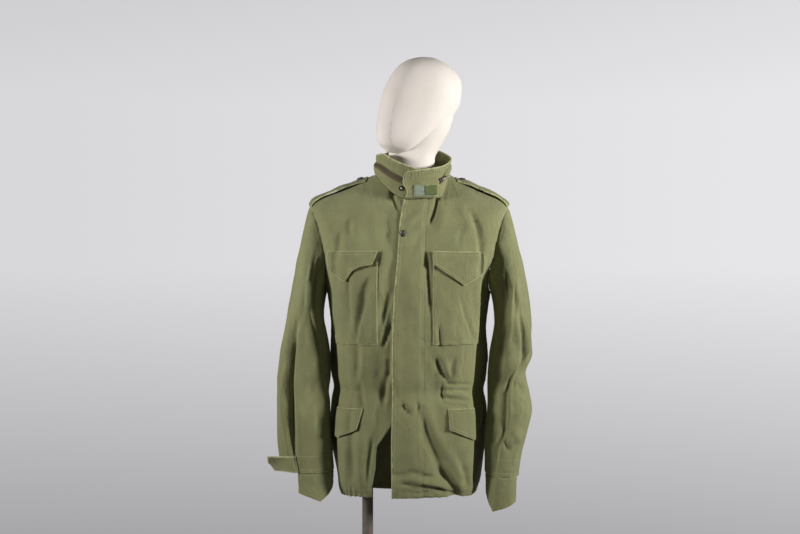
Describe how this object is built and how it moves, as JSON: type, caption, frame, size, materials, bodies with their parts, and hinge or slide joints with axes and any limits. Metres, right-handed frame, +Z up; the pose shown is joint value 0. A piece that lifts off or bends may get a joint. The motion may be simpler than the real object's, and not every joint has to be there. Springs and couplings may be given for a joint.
{
  "type": "field jacket on a headed dress form with a pole stand",
  "caption": "Worn field jacket with a stand collar, storm flap, flapped pockets and shoulder straps, filled out by a limbless dress form on a pole stand.",
  "frame": {"origin": "centre of the round base's underside, on the pole's axis", "axes": "+Z up along the pole, -Y the way the jacket faces, +X the wearer's left"},
  "size_m": [0.5964, 0.38, 1.8018],
  "materials": {
    "shell_cloth": "washed olive cotton sateen, worn lighter at the edges",
    "zip_tape": "brown woven zip tape with metal teeth",
    "hook_tape": "pale grey-green hook tape",
    "loop_tape": "green loop tape",
    "dark_metal": "blackened snap, worn",
    "bright_metal": "bare zip slider and pull",
    "button": "dull grey-green plastic",
    "form_jersey": "off-white jersey stretched smooth",
    "stand_steel": "dark grey-brown satin"
  },
  "bodies": {
    "jacket": {"back": "shell_cloth", "base": "stand_steel", "chest_flap_left": "shell_cloth", "chest_flap_right": "shell_cloth", "chest_pocket_left": "shell_cloth", "chest_pocket_right": "shell_cloth", "collar": "shell_cloth", "collar_patch": "hook_tape", "collar_snap": "dark_metal", "collar_tab": "loop_tape", "collar_zip": "zip_tape", "collar_zip_slider": "bright_metal", "cuff_guard_left": "shell_cloth", "cuff_guard_right": "shell_cloth", "cuff_tab_left": "shell_cloth", "cuff_tab_right": "shell_cloth", "epaulette_button_left": "button", "epaulette_button_right": "button", "epaulette_left": "shell_cloth", "epaulette_right": "shell_cloth", "form_head": "form_jersey", "form_torso": "form_jersey", "front_left": "shell_cloth", "front_right": "shell_cloth", "lower_flap_left": "shell_cloth", "lower_flap_right": "shell_cloth", "pole": "stand_steel", "pole_socket": "stand_steel", "sleeve_left": "shell_cloth", "sleeve_right": "shell_cloth", "storm_flap": "shell_cloth", "storm_flap_snap": "dark_metal"},
    "zip_pull": {"collar_zip_pull": "bright_metal"}
  },
  "joints": [
    {"name": "zip_pull_hinge", "type": "hinge", "parent": "jacket", "child": "zip_pull", "pos_m": [0.16965, -0.07796, 1.51461], "axis": [0.3942, 0.1212, -0.911], "range_deg": [0, 170]}
  ]
}
